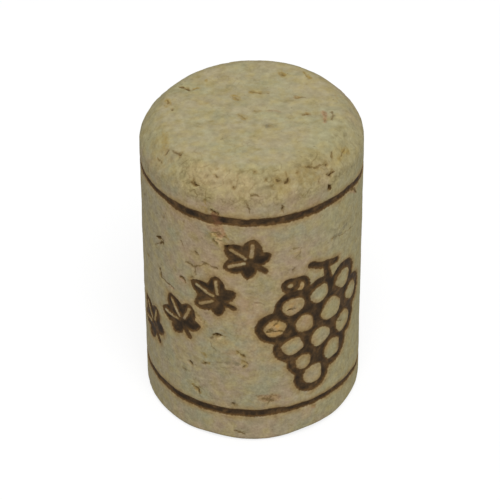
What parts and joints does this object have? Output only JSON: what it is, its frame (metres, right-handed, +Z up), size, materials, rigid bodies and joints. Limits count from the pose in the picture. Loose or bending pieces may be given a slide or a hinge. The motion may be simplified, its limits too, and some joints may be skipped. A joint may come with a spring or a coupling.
{
  "type": "cork stopper",
  "caption": "Cylindrical natural cork stopper with a chamfered crown, burnt bands near both ends, and a burnt bunch of grapes with vine leaves on its side.",
  "frame": {"origin": "centre of the foot, on the surface that the stopper stands on", "axes": "+Z up the stopper's axis toward the crown, -Y toward the front, with the bunch of grapes to the right (+X) and the leaves to the left"},
  "size_m": [0.025, 0.025, 0.038],
  "materials": {
    "cork": "ground natural cork with scorched marks"
  },
  "bodies": {
    "root": {"cork_stopper": "cork"}
  },
  "joints": []
}
